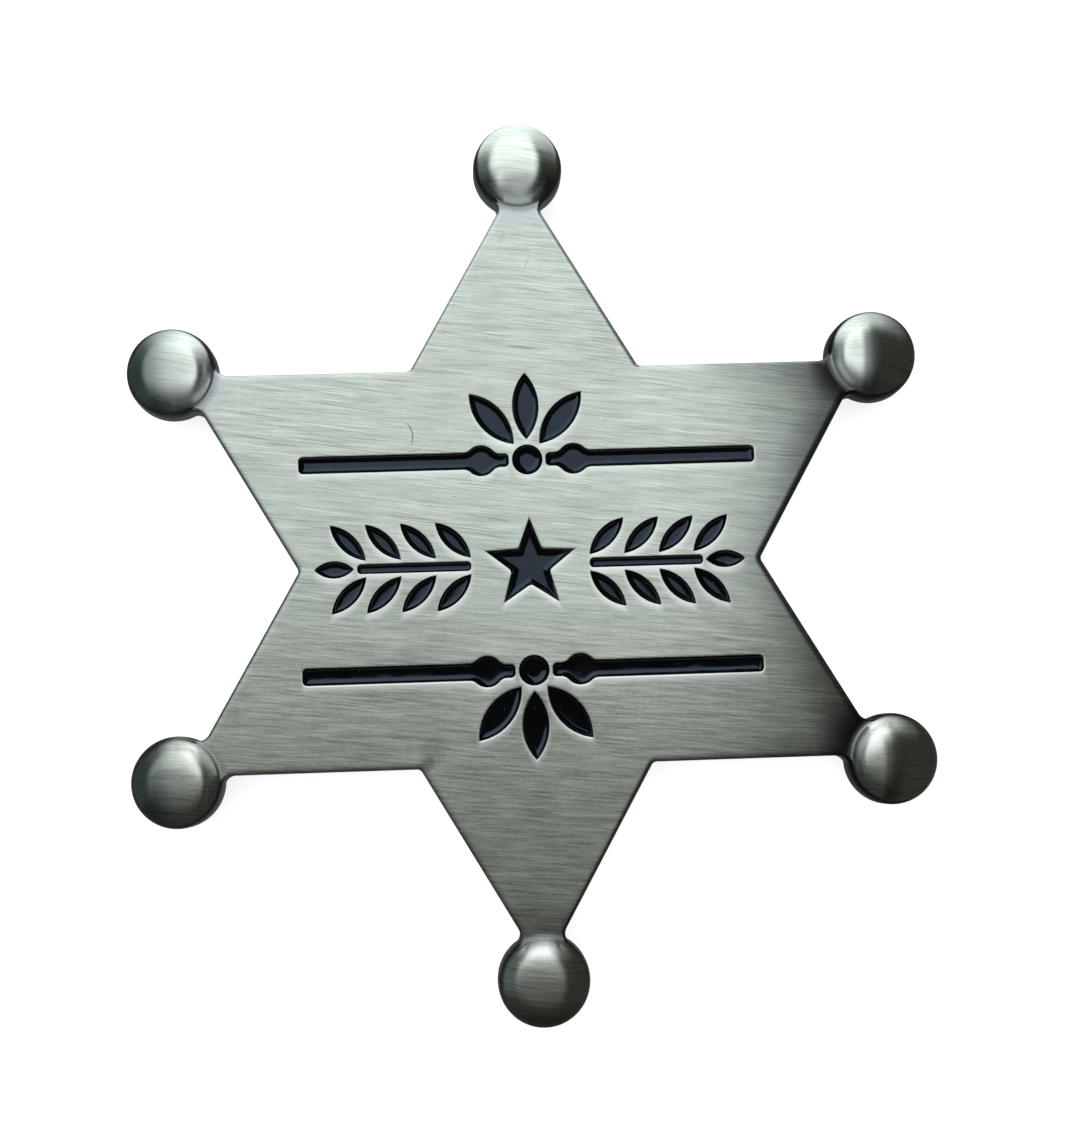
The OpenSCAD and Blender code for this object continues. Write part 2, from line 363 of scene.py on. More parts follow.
def build_balls():
    """The six balls: domes on short straight skirts, flat underneath."""
    bm = bmesh.new()
    pole = bm.verts.new((0, 0, dome_z))
    arc = bmesh.ops.spin(bm, geom=[pole], cent=(0, 0, skirt_z), axis=(0, 1, 0), dvec=(0, 0, 0),
                         angle=pi / 2, steps=dome_steps, use_duplicate=False)["geom_last"]
    at = next(v for v in arc if isinstance(v, bmesh.types.BMVert))
    for x, z in ((ball_r, back_z + back_round), (ball_r - back_round, back_z), (0, back_z)):
        below = bm.verts.new((x, 0, z))
        bm.edges.new((at, below))
        at = below
    return spin_at_points(bm)


def build_coves():
    """Rings that round the crease between the balls and the face."""
    bm = bmesh.new()
    centre_z = face_z + cove_r - cove_sink
    centre_x = sqrt((ball_r + cove_r) ** 2 - (face_z + cove_r - skirt_z) ** 2) - cove_sink
    foot = bm.verts.new((centre_x, 0, centre_z - cove_r))
    sweep = pi / 2 - atan2(centre_z - skirt_z, centre_x)
    arc = bmesh.ops.spin(bm, geom=[foot], cent=(centre_x, 0, centre_z), axis=(0, 1, 0), dvec=(0, 0, 0),
                         angle=sweep, steps=8, use_duplicate=False)["geom_last"]
    at = next(v for v in arc if isinstance(v, bmesh.types.BMVert))
    low = face_z - cove_root
    in_ball = at.co.x - cove_bite
    for corner in ((in_ball, 0, at.co.z - 0.1), (in_ball, 0, low), (centre_x, 0, low)):
        below = bm.verts.new(corner)
        bm.edges.new((at, below))
        at = below
    bm.edges.new((at, foot))
    return spin_at_points(bm)


def build_cutter():
    """Block with the plate's outline, a little in from its edges."""
    bm = bmesh.new()
    star_outline(bm)
    bm.faces.ensure_lookup_table()
    top = bm.faces[0]
    step_in(bm, top, [(cove_from_edge, face_z - cutter_below)])
    bmesh.ops.delete(bm, geom=[face for face in bm.faces if face != top], context="FACES")
    raised = bmesh.ops.extrude_face_region(bm, geom=[top], use_keep_orig=True)["geom"]
    lid = [v for v in raised if isinstance(v, bmesh.types.BMVert)]
    bmesh.ops.translate(bm, verts=lid, vec=(0, 0, cutter_h))
    bmesh.ops.recalc_face_normals(bm, faces=bm.faces)
    return bm


def combine(piece, operation, other):
    """Adds a Boolean modifier to an object."""
    modifier = piece.modifiers.new(other.name, "BOOLEAN")
    modifier.operation = operation
    modifier.solver = "EXACT"
    modifier.object = other


def shade_smooth(bm):
    """Brings a bmesh to metres and smooths it, except along crisp edges."""
    bmesh.ops.transform(bm, matrix=Matrix.Scale(MM, 4), verts=bm.verts)
    for edge in bm.edges:
        edge.smooth = edge.calc_face_angle(0) < crisp_angle
    for face in bm.faces:
        face.smooth = True


def add_object(name, bm):
    """Gives a bmesh its object."""
    mesh = bpy.data.meshes.new(name)
    bm.to_mesh(mesh)
    bm.free()
    piece = bpy.data.objects.new(name, mesh)
    bpy.context.scene.collection.objects.link(piece)
    return piece


plate = add_object("plate", build_plate())
balls = add_object("balls", build_balls())
coves = add_object("coves", build_coves())
cutter = add_object("cutter", build_cutter())
combine(coves, "INTERSECT", cutter)
combine(plate, "UNION", coves)
combine(plate, "UNION", balls)
bpy.context.view_layer.update()
cast = bpy.data.meshes.new_from_object(plate.evaluated_get(bpy.context.evaluated_depsgraph_get()))
for piece in (plate, balls, coves, cutter):
    bpy.data.objects.remove(piece)
bm = bmesh.new()
bm.from_mesh(cast)
shade_smooth(bm)
casting = add_object("star_casting", bm)
even = casting.modifiers.new("even_shading", "WEIGHTED_NORMAL")
even.keep_sharp = True
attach(casting, "root")
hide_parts("star")


def add_node(tree, kind, inputs=(), **settings):
    """Adds a shader node; an input is a number, a colour or a socket."""
    node = tree.nodes.new("ShaderNode" + kind)
    for name, value in settings.items():
        setattr(node, name, value)
    for name, value in dict(inputs).items():
        if isinstance(value, bpy.types.NodeSocket):
            tree.links.new(value, node.inputs[name])
        else:
            node.inputs[name].default_value = value
    return node


def maths(tree, operation, *values):
    """One Math node on up to three numbers."""
    return add_node(tree, "Math", enumerate(values), operation=operation).outputs[0]


def chain(operation, tree, *values):
    """The same operation on several numbers, from left to right."""
    result = values[0]
    for value in values[1:]:
        result = maths(tree, operation, result, value)
    return result


times, most, least = (partial(chain, operation) for operation in ("MULTIPLY", "MAXIMUM", "MINIMUM"))


def ramp(tree, value, start, end, low=0.0, high=1.0):
    """Smooth change from one number to another between two values."""
    limits = {"Value": value, "From Min": start, "From Max": end, "To Min": low, "To Max": high}
    return add_node(tree, "MapRange", limits, interpolation_type="SMOOTHSTEP").outputs["Result"]


def blend(tree, share, first, second):
    """Mixes two colours."""
    node = add_node(tree, "Mix", data_type="RGBA")
    for index, value in ((0, share), (6, first), (7, second)):
        if isinstance(value, bpy.types.NodeSocket):
            tree.links.new(value, node.inputs[index])
        else:
            node.inputs[index].default_value = value
    return node.outputs[2]


def scaled(tree, vector, factor):
    """A place or a colour times a number."""
    return add_node(tree, "VectorMath", {0: vector, "Scale": factor}, operation="SCALE").outputs[0]


def distance(tree, across, along):
    """Length of the line to a point that lies so far across and along."""
    return maths(tree, "SQRT", chain("ADD", tree, times(tree, across, across),
                                     times(tree, along, along)))


def millimetres(tree):
    """Where a point lies on the badge, in millimetres, and its x, y and z."""
    place = scaled(tree, add_node(tree, "TexCoord").outputs["Object"], 1 / MM)
    return (place, *add_node(tree, "SeparateXYZ", {0: place}).outputs)


def new_group(name, outputs):
    """A node group of masks; gives its tree and its output node."""
    tree = bpy.data.node_groups.new(name, "ShaderNodeTree")
    for output in outputs:
        tree.interface.new_socket(output, in_out="OUTPUT", socket_type="NodeSocketFloat")
    return tree, tree.nodes.new("NodeGroupOutput")


# Brush lines: length, width and lean of each kind, in millimetres and
# degrees. All run a little down to the right, the longer ones more so.
brush_lean = radians(-4)
brushing, out = new_group("brushing", ("Fine", "Coarse", "Long", "Stray", "Grain"))
at = add_node(brushing, "TexCoord").outputs["Object"]
for output, length, width, lean, detail in (
        ("Fine", 3.0, 0.13, -4.5, 2), ("Coarse", 7, 0.5, -4, 3), ("Long", 6, 0.15, -6.5, 1),
        ("Stray", 7, 0.13, -10, 0), ("Grain", 0.3, 0.15, -4, 1)):
    place = add_node(brushing, "Mapping", {"Vector": at, "Rotation": (0, 0, radians(lean)),
                                           "Scale": (length * MM, width * MM, length * MM)},
                     vector_type="TEXTURE")
    lines = add_node(brushing, "TexNoise", {"Vector": place.outputs[0], "Scale": 1, "Detail": detail,
                                            "Roughness": 0.55})
    brushing.links.new(lines.outputs["Fac"], out.inputs[output])

# Patina and painted shade: black left in the creases beside the balls and
# along the walls is patina; the wider dark beside the right-hand balls, along
# the right-hand edges and by the lowest ball is painted shade. Bare zones
# below balls that no brush reached. A mask's last two numbers are its
# strength at either place.
patina_and_painted_light, out = new_group("patina_and_painted_light", ("Dark", "Bare", "Cloud", "Ball", "Flank", "Outer_shade", "Press", "Warm"))
mm, x, y, z = millimetres(patina_and_painted_light)
soft = partial(ramp, patina_and_painted_light)

# All six points are folded onto the top one: up is the distance from the
# badge's middle along the point, and side the distance from its middle line
turned = maths(patina_and_painted_light, "WRAP", maths(patina_and_painted_light, "ARCTAN2", x, y), pi / 6, -pi / 6)
from_middle = distance(patina_and_painted_light, x, y)
side = maths(patina_and_painted_light, "ABSOLUTE", times(patina_and_painted_light, from_middle, maths(patina_and_painted_light, "SINE", turned)))
up = times(patina_and_painted_light, from_middle, maths(patina_and_painted_light, "COSINE", turned))
past = maths(patina_and_painted_light, "SUBTRACT", up, tip_r)
from_ball = distance(patina_and_painted_light, side, past)
to_edge = maths(patina_and_painted_light, "ADD", times(patina_and_painted_light, side, sin(pi / 3)), times(patina_and_painted_light, up, cos(pi / 3)))
from_edge = maths(patina_and_painted_light, "SUBTRACT", tip_r / 2 - edge_inset, to_edge)
cloud = add_node(patina_and_painted_light, "TexNoise", {"Vector": mm, "Scale": 0.35, "Detail": 4,
                                      "Roughness": 0.6}).outputs["Fac"]
ragged = maths(patina_and_painted_light, "ADD", from_ball, maths(patina_and_painted_light, "MULTIPLY_ADD", cloud, 0.8, -0.4))
straight = maths(patina_and_painted_light, "ADD", past, maths(patina_and_painted_light, "MULTIPLY_ADD", cloud, 0.9, -0.45))

near_face = soft(z, face_z + 0.03, face_z + 0.3, 1, 0)
crease = soft(ragged, 3.6, 4.3, 0.4, 0)
# Painted shade: the plate is darker beside the lowest ball, beside the right-hand balls and along the
# right-hand edges
lowest_ball_shade = times(patina_and_painted_light, soft(ragged, 3.6, 7.5, 0.5, 0), soft(y, -20, -26))
wide_right_shade = times(patina_and_painted_light, soft(ragged, 3.6, 8.5, 1, 0), soft(y, -5, 5, 0.98, 0.3))
close_right_shade = times(patina_and_painted_light, soft(ragged, 3.9, 6.9, 0.92, 0), soft(y, -5, 5))
right_ball_shade = times(patina_and_painted_light, soft(x, 10, 24), most(patina_and_painted_light, wide_right_shade, close_right_shade))
right_edge_shade = times(patina_and_painted_light, soft(from_edge, 0.2, 3.4, 0.35, 0), soft(x, 10, 24))
on_plate = times(patina_and_painted_light, near_face, most(patina_and_painted_light, crease, lowest_ball_shade, right_ball_shade, right_edge_shade))
wall = soft(z, face_z - 0.6, face_z - 0.3, 0.4, 0)
# Painted shade: a dark ring on each ball just above the face, where the crease would shade it
foot = times(patina_and_painted_light, soft(z, face_z + 0.05, face_z + 0.5, 0.75, 0),
             soft(from_ball, ball_r - 0.2, ball_r, 1, 0))

# Painted shade on single balls: dark spots beside the top one's neck, round
# the middles of the right-hand ones, and at the lowest one's end
on_ball = soft(z, face_z + 0.1, face_z + 0.4)
up_ball = maths(patina_and_painted_light, "WRAP", maths(patina_and_painted_light, "ADD", y, tip_r / 2), tip_r / 2, -tip_r / 2)
pocket = times(patina_and_painted_light, soft(side, 1.4, 2.4, 0, 0.7), soft(past, -0.4, -1.8), soft(y, 25, 30))
top_ball_shade = times(patina_and_painted_light, soft(past, -3, -2.3), soft(past, -1.9, -0.9, 0.5, 0), soft(side, 0.8, 2, 1, 0),
                soft(y, 25, 30))
rim_side = soft(maths(patina_and_painted_light, "ABSOLUTE", maths(patina_and_painted_light, "SUBTRACT", x, 25)), 0.4, 1.6, 0.5, 0)
middle = times(patina_and_painted_light, soft(x, 27.7, 28.3, 0, 0.64), soft(x, 28.5, 29.8, 1, 0),
               soft(up_ball, 1, 2.4, 1, 0.1))
low_end = times(patina_and_painted_light, soft(past, 1, 3.2, 0, 0.6), soft(y, -25, -30))
in_shade = times(patina_and_painted_light, on_ball, most(patina_and_painted_light, pocket, top_ball_shade, rim_side, middle, low_end))

# Bare: the zones that no brush reached. Flank: a painted reflection, the
# bright inner side of each ball. The outer side of the left-hand balls gets
# painted shade. Press: how hard the wheel pressed, harder low down. Warm:
# the warmer grey of the lower part.
bare = times(patina_and_painted_light, soft(straight, -5.2, -4.5), soft(y, 8, 18),
             soft(z, face_z + 0.2, face_z + 0.5, 1, 0))
for output, mask in (
        ("Dark", most(patina_and_painted_light, on_plate, wall, foot, in_shade)), ("Bare", bare),
        ("Cloud", cloud), ("Ball", on_ball),
        ("Flank", times(patina_and_painted_light, on_ball, soft(past, -3.0, -1.3, 1, 0), soft(side, 1.2, 2.8, 1, 0))),
        ("Outer_shade", times(patina_and_painted_light, on_ball, soft(x, -31.8, -27.0, 0.8, 0))),
        ("Press", soft(y, -12, 2, 1.1, 0.48)), ("Warm", soft(y, 0, -14))):
    patina_and_painted_light.links.new(mask, out.inputs[output])

# Bright lips: a painted highlight on the lower edge of each recess, stronger
# low on the face. Distances to the recesses are measured from a little
# higher on the face, so that only the lower side of each counts.
lip_shift = 0.45
lip_reach = (-0.4, 0.35)
lip_highlights, out = new_group("lip_highlights", ("Lip",))
mm, x, y, z = millimetres(lip_highlights)
calc = partial(maths, lip_highlights)


def from_strip(along, across, start, end, width):
    """Distance from a strip between two places along its middle line."""
    return most(lip_highlights, calc("SUBTRACT", calc("ABSOLUTE", across), width / 2),
                calc("SUBTRACT", along, end), calc("SUBTRACT", start, along))


def from_circle(across, along, radius):
    """Distance from a circle about the origin."""
    return calc("SUBTRACT", distance(lip_highlights, across, along), radius)


def from_leaf(across, along, length, width):
    """Distance from a pointed leaf between two arcs."""
    arc_r = (length ** 2 + width ** 2) / (4 * width)
    return from_circle(calc("ADD", calc("ABSOLUTE", across), arc_r - width / 2),
                       calc("SUBTRACT", along, length / 2), arc_r)


# The left half is folded onto the right one, the lower row onto the upper
higher = calc("ADD", y, lip_shift)
away = calc("ABSOLUTE", x)
over_row = calc("SUBTRACT", calc("ABSOLUTE", higher), bar_y)
from_dot = distance(lip_highlights, away, over_row)
fan_turn = calc("ARCTAN2", away, over_row)
beside_leaf = calc("GREATER_THAN", fan_turn, fan_angle / 2)
fan_turn = calc("MULTIPLY_ADD", beside_leaf, -fan_angle, fan_turn)
fan_leaf = from_leaf(times(lip_highlights, from_dot, calc("SINE", fan_turn)),
                     calc("MULTIPLY_ADD", from_dot, calc("COSINE", fan_turn), -leaf_foot),
                     leaf_len, leaf_w)
row = least(lip_highlights, calc("SUBTRACT", from_dot, dot_r + enamel_gap), fan_leaf,
            from_circle(calc("SUBTRACT", away, knob_x), over_row, knob_r),
            from_strip(away, over_row, bar_in, knob_x, neck_w),
            from_strip(away, over_row, knob_x, bar_out, bar_w))

# A point's nearest pair of leaves along the stem
sprig_up = calc("SUBTRACT", calc("ABSOLUTE", higher), sprig_y)
on_stem = calc("SUBTRACT", away, stem_in)
down_leaf = calc("MULTIPLY_ADD", sprig_up, -1 / tan(sprig_angle), on_stem)
pair = calc("ROUND", times(lip_highlights, down_leaf, 1 / pair_step))
pair = calc("MINIMUM", calc("MAXIMUM", pair, 0), pair_count - 1)
from_pair = calc("MULTIPLY_ADD", pair, -pair_step, on_stem)
leaning, upright = sin(sprig_angle), cos(sprig_angle)
sprig = from_leaf(calc("SUBTRACT", times(lip_highlights, from_pair, leaning), times(lip_highlights, sprig_up, upright)),
                  calc("ADD", times(lip_highlights, from_pair, upright), times(lip_highlights, sprig_up, leaning)),
                  sprig_len, sprig_w)
end_leaf = from_leaf(higher, calc("SUBTRACT", away, stem_out + sprig_web), end_leaf_len, sprig_w)
stem = from_strip(away, higher, stem_in, stem_out, stem_w)

ray_turn = calc("ABSOLUTE", calc("WRAP", calc("ARCTAN2", x, higher), pi / 5, -pi / 5))
from_centre = distance(lip_highlights, x, higher)
ray_fall, ray_run = small_star_in * sin(pi / 5), small_star_r - small_star_in * cos(pi / 5)
ray_edge = sqrt(ray_run ** 2 + ray_fall ** 2)
past_ray = calc("MULTIPLY_ADD", from_centre, calc("COSINE", ray_turn), -small_star_r)
beside_ray = times(lip_highlights, from_centre, calc("SINE", ray_turn))
ray = calc("ADD", times(lip_highlights, past_ray, ray_fall / ray_edge),
           times(lip_highlights, beside_ray, ray_run / ray_edge))
lip_highlight = times(lip_highlights, ramp(lip_highlights, least(lip_highlights, row, sprig, end_leaf, stem, ray), *lip_reach, 1, 0),
            ramp(lip_highlights, z, face_z - 0.5, face_z - 0.3), ramp(lip_highlights, y, -9, 9, 0.95, 0.5))
lip_highlights.links.new(lip_highlight, out.inputs["Lip"])

# Marks of wear: a few short scratches and specks, a curved hairline with a
# fainter one under it, and smudges at two notches
wear, out = new_group("wear", ("Hair", "Smudge"))
mm, x, y, z = millimetres(wear)


def spot(x, y, lean, length, width, strength=1.0):
    """A soft oval spot of wear, sizes in millimetres."""
    place = add_node(wear, "Mapping", {"Vector": mm, "Location": (x, y, face_z),
                                       "Rotation": (0, 0, radians(lean)), "Scale": (length, width, 1)},
                     vector_type="TEXTURE").outputs[0]
    out_from_middle = add_node(wear, "VectorMath", {0: place}, operation="LENGTH").outputs["Value"]
    return ramp(wear, out_from_middle, 0.3, 1, strength, 0)


scratch_w = 0.07
hairs = [spot(x, y, lean, length, scratch_w, strength) for x, y, lean, length, strength in (
    (-1.5, 27.5, 68, 0.75, 0.35), (0.5, 25.4, 68, 0.9, 0.45), (-6.1, 5.8, 0, 0.12, 0.8),
    (-8.1, 5.1, 40, 0.1, 0.8), (-15.8, -8, 0, 0.12, 0.7), (6.6, 11.9, 40, 0.5, 0.3))]
for x, y, radius, spot_x, spot_y, size, strength in (
        (-10.94, 10.89, 1.54, -9.6, 11.2, 1.25, 1), (-9.58, 10.98, 1.32, -9.2, 9.75, 0.95, 0.4)):
    centre = {0: mm, 1: (x, y, face_z)}
    to_centre = add_node(wear, "VectorMath", centre, operation="DISTANCE").outputs["Value"]
    off_arc = maths(wear, "ABSOLUTE", maths(wear, "SUBTRACT", to_centre, radius))
    hairs.append(times(wear, ramp(wear, off_arc, 0.02, 0.075, strength, 0),
                       spot(spot_x, spot_y, 0, size, size)))
smudges = [spot(-8.9, -16.0, 50, 1.2, 0.8), spot(-8.4, -14.9, 60, 2.4, 1.5, 0.45),
           spot(6.6, 19, -60, 2.4, 1.1, 0.16)]
wear.links.new(most(wear, *hairs), out.inputs["Hair"])
wear.links.new(most(wear, *smudges), out.inputs["Smudge"])

# The metal: colour and gloss from the brush lines' tone, -1 to 1, then the
# painted highlights on the lips, the balls, and over it the painted
# reflection and shade on the balls, the wear, and the patina with more
# painted shade
groove, ridge = (0.325, 0.368, 0.332, 1), (0.70, 0.774, 0.712, 1)
warm_tint = (1.045, 1.0, 0.975)
unbrushed = (0.47, 0.51, 0.56, 1)
# Painted highlight for the lower lips of the recesses
lip_highlight_colour = (0.93, 0.98, 0.96, 1)
# Painted reflection for the balls' inner flanks and painted shade for the left-hand balls' outer sides
flank_reflection = (0.94, 0.99, 0.97, 1)
outer_side_shade = (0.12, 0.165, 0.17, 1)
smudge_grey = (0.16, 0.16, 0.16, 1)
scratch_grey = (0.12, 0.12, 0.12, 1)
# Black for the patina and for the painted shade
patina_and_shade_black = (0.035, 0.035, 0.04, 1)
ball_gain = 1.22
plain_rough = 0.35


def new_material(name):
    """A material with its tree and its shader."""
    material = bpy.data.materials.new(name)
    material.use_nodes = True
    return material, material.node_tree, material.node_tree.nodes["Principled BSDF"]


metal, tree, shader = new_material("antique_metal")
shader.inputs["Metallic"].default_value = 1
shader.inputs["Anisotropic"].default_value = 0.8
brush, patina_and_shade_masks, lit, worn = (add_node(tree, "Group", node_tree=group).outputs
                           for group in (brushing, patina_and_painted_light, lip_highlights, wear))


def peaks(lines, near, far, strength):
    """Only the brightest and darkest of some brush lines."""
    return maths(tree, "SUBTRACT", ramp(tree, lines, 0.5 + near, 0.5 + far, 0, strength),
                 ramp(tree, lines, 0.5 - near, 0.5 - far, 0, strength))


pressed = times(tree, chain("ADD", tree, ramp(tree, brush["Fine"], 0.25, 0.75, -0.6, 0.6),
                            ramp(tree, brush["Grain"], 0.25, 0.75, -0.22, 0.22)), patina_and_shade_masks["Press"])
tone = chain("ADD", tree, pressed, ramp(tree, brush["Coarse"], 0.3, 0.7, -0.22, 0.22),
             peaks(brush["Long"], 0.1, 0.24, 0.7), peaks(brush["Stray"], 0.18, 0.28, 0.8),
             ramp(tree, patina_and_shade_masks["Cloud"], 0.3, 0.7, -0.14, 0.14))
tone = times(tree, tone, ramp(tree, patina_and_shade_masks["Bare"], 0, 1, 1, 0.7),
             ramp(tree, patina_and_shade_masks["Ball"], 0, 1, 1, 0.7))
lined = blend(tree, maths(tree, "MULTIPLY_ADD", tone, 0.5, 0.5), groove, ridge)
warmed = add_node(tree, "VectorMath", {0: lined, 1: warm_tint}, operation="MULTIPLY").outputs[0]
colour = blend(tree, patina_and_shade_masks["Warm"], lined, warmed)
colour = blend(tree, times(tree, patina_and_shade_masks["Bare"], 0.6), colour, unbrushed)
# Painted highlight on the lower lips of the recesses
on_face = blend(tree, lit["Lip"], colour, lip_highlight_colour)
colour = blend(tree, patina_and_shade_masks["Ball"], on_face, scaled(tree, colour, ball_gain))
# Over the colour: a painted reflection on the balls' inner flanks, painted shade on the left-hand balls'
# outer sides, smudges, scratches, and last the patina with its painted shade
for mask, share, finish in (
        (patina_and_shade_masks["Flank"], 0.85, flank_reflection), (patina_and_shade_masks["Outer_shade"], 1, outer_side_shade),
        (worn["Smudge"], 0.6, smudge_grey), (worn["Hair"], 0.85, scratch_grey),
        (patina_and_shade_masks["Dark"], 1, patina_and_shade_black)):
    colour = blend(tree, times(tree, mask, share), colour, finish)
tree.links.new(colour, shader.inputs["Base Color"])
rough = maths(tree, "MULTIPLY_ADD", tone, 0.03, plain_rough)
for mask, change in ((patina_and_shade_masks["Bare"], -0.08), (patina_and_shade_masks["Ball"], -0.1), (patina_and_shade_masks["Cloud"], 0.05)):
    rough = maths(tree, "MULTIPLY_ADD", mask, change, rough)
tree.links.new(rough, shader.inputs["Roughness"])
bump = add_node(tree, "Bump", {"Strength": 0.1, "Distance": 0.02 * MM, "Height": brush["Coarse"]})
tree.links.new(bump.outputs[0], shader.inputs["Normal"])
tangent = add_node(tree, "CombineXYZ", {0: -sin(brush_lean), 1: cos(brush_lean)})
tree.links.new(tangent.outputs[0], shader.inputs["Tangent"])
casting.data.materials.clear()
casting.data.materials.append(metal)


# The enamel: black glass-like fill, one piece in each recess. It wetted the
# walls as it set, so it climbs to the rim all round, and its middle is low
# and flat.
lip_z = enamel_z + 0.01
creep = {small_star_outline: 0.55, dot_outline: 0.7, bar_outline: 0.5, stem_outline: 0.3}
leaf_creep = 0.47
creep_fall = 0.6
creep_curve = 2.2
creep_rings = 10


def build_enamel(name):
    """One piece: flat underneath, straight walls, and a hollow top."""
    width = creep.get(recesses[name][0], leaf_creep)
    rings = [(enamel_gap, floor_z + 0.01)]
    for ring in range(creep_rings + 1):
        share = ring / creep_rings
        fall = creep_fall * width * (1 - (1 - share) ** creep_curve)
        rings.append((enamel_gap + width * share, lip_z - fall))
    bm = bmesh.new()
    loops = []
    for inset, height in rings:
        known = len(bm.edges)
        join(bm, outline_on_face(name, -inset, height))
        bm.edges.ensure_lookup_table()
        loops.append(bm.edges[known:])
    bm.faces.ensure_lookup_table()
    bmesh.ops.delete(bm, geom=bm.faces[1:-1], context="FACES_ONLY")
    for low, high in zip(loops, loops[1:]):
        bmesh.ops.bridge_loops(bm, edges=low + high)
    bmesh.ops.recalc_face_normals(bm, faces=bm.faces)
    shade_smooth(bm)
    return bm


enamel, tree, shader = new_material("black_enamel")
at = add_node(tree, "TexCoord").outputs["Object"]
dust = add_node(tree, "TexVoronoi", {"Vector": at, "Scale": 1.1 / MM,
                                     "Randomness": 1}).outputs["Distance"]
specks = ramp(tree, dust, 0.03, 0.06, 0.7, 0)
smoke = add_node(tree, "TexNoise", {"Vector": at, "Scale": 0.5 / MM, "Detail": 3}).outputs["Fac"]
deep = blend(tree, smoke, (0.0004, 0.0004, 0.0006, 1), (0.0025, 0.003, 0.004, 1))
tree.links.new(blend(tree, specks, deep, (0.2, 0.2, 0.2, 1)), shader.inputs["Base Color"])
tree.links.new(ramp(tree, smoke, 0.3, 0.8, 0.05, 0.12), shader.inputs["Roughness"])
waves = add_node(tree, "TexNoise", {"Vector": at, "Scale": 0.45 / MM, "Detail": 1}).outputs["Fac"]
bump = add_node(tree, "Bump", {"Strength": 0.5, "Distance": 0.08 * MM, "Height": waves})
tree.links.new(bump.outputs[0], shader.inputs["Normal"])

fills = []
for name in recesses:
    piece = add_object(name + "_fill", build_enamel(name))
    fills.append(piece)
    piece.data.materials.append(enamel)
    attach(piece, "root")
    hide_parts(name)


# The brooch pin: a stamped steel strip with a hinge and a catch, and the
# closed wire between them, soldered to the back. The solids have its whole
# shape, so it only gets its brushed steel.
steel, tree, shader = new_material("pin_steel")
shader.inputs["Metallic"].default_value = 1
brush = add_node(tree, "Group", node_tree=brushing).outputs
shade = blend(tree, brush["Fine"], (0.5, 0.5, 0.5, 1), (0.72, 0.72, 0.73, 1))
tree.links.new(shade, shader.inputs["Base Color"])
tree.links.new(ramp(tree, brush["Coarse"], 0.3, 0.7, 0.28, 0.42), shader.inputs["Roughness"])
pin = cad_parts["brooch_pin"]
pin.data.materials.clear()
pin.data.materials.append(steel)


# The camera: it stands 150 mm over the middle of the face, tipped a few
# degrees, so that the far points come out a little smaller and the walls of
# the balls show. Its focal length is given in pixels of the frame's width.
frame_w = 1067
focal_px = 1794
sensor_w = 36
stand = Vector((0.31, -0.26, 150)) * MM
turn = (Matrix.Rotation(radians(1.71), 4, "Z") @ Matrix.Rotation(radians(2.07), 4, "Y")
        @ Matrix.Rotation(radians(-5.84), 4, "X"))
camera_data = bpy.data.cameras.new("camera")
camera_data.sensor_fit = "HORIZONTAL"
camera_data.sensor_width = sensor_w
camera_data.lens = sensor_w * focal_px / frame_w
camera_data.clip_start = 0.01
camera_data.clip_end = 10
camera = bpy.data.objects.new("camera", camera_data)
bpy.context.scene.collection.objects.link(camera)
camera.matrix_world = (Matrix.Translation((0, 0, back_z * MM)) @ turn.inverted()
                       @ Matrix.Translation(stand))
bpy.context.scene.camera = camera


# The floor: a pale matt board, 3 m wide, that the badge lies on. It glows a
# little itself, so it stays evenly pale, and the metal doesn't mirror it.
floor_half = 1.5
bm = bmesh.new()
bmesh.ops.create_grid(bm, x_segments=1, y_segments=1, size=floor_half)
floor = add_object("floor", bm)
floor.visible_glossy = False
pale, tree, shader = new_material("pale_floor")
shader.inputs["Base Color"].default_value = (0.9, 0.9, 0.9, 1)
shader.inputs["Roughness"].default_value = 0.9
shader.inputs["Emission Color"].default_value = (1, 1, 1, 1)
shader.inputs["Emission Strength"].default_value = 0.8
floor.data.materials.append(pale)


# The light: a dim room, a little lighter straight below, where steep walls
# mirror it, a soft lamp over the floor, and cards for the ceiling, the
# window and the wall, each mirrored by the pieces that it is linked to.
bpy.context.scene.view_settings.view_transform = "Standard"
world = bpy.context.scene.world or bpy.data.worlds.new("world")
bpy.context.scene.world = world
world.use_nodes = True
tree = world.node_tree
direction = add_node(tree, "TexCoord").outputs["Generated"]
height = add_node(tree, "SeparateXYZ", {0: direction}).outputs["Z"]
room = blend(tree, ramp(tree, height, -0.7, -0.95), (0.038, 0.038, 0.033, 1), (0.14, 0.145, 0.165, 1))
tree.links.new(room, tree.nodes["Background"].inputs["Color"])

sky_data = bpy.data.lights.new("sky", "AREA")
sky_data.size = 1.2
sky_data.energy = 10
sky = bpy.data.objects.new("sky", sky_data)
bpy.context.scene.collection.objects.link(sky)
sky.location = (-0.2, 0.2, 1.2)
sky.rotation_euler = (-sky.location).to_track_quat("-Z", "Y").to_euler()
sky.visible_glossy = False


